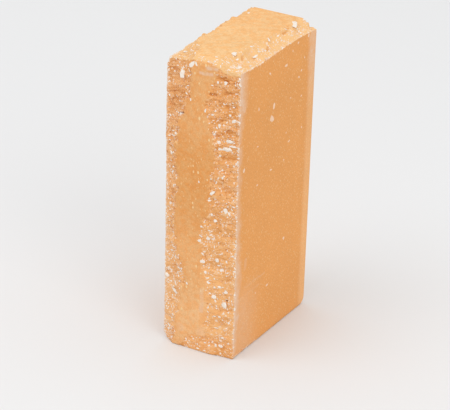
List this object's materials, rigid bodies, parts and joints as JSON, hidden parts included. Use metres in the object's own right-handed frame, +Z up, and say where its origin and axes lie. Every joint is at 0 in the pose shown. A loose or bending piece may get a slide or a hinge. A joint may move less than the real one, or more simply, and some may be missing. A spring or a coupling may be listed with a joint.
{
  "type": "corner brick",
  "caption": "Solid hyper-pressed corner brick: one stretcher and one end broken to a rock face, plain beds, back and other end, for facing a wall's outer corner.",
  "frame": {"origin": "centre of the plain end that the brick stands on", "axes": "+Z up along the 250 mm length, towards the rock-faced end; -Y out of the rock-faced stretcher; X through the 65 mm thickness, from bed to bed"},
  "size_m": [0.065, 0.12, 0.25],
  "materials": {
    "pressed_brick": "matt, pale apricot, with white limestone grains in the broken faces"
  },
  "bodies": {
    "root": {"corner_brick": "pressed_brick"}
  },
  "joints": []
}
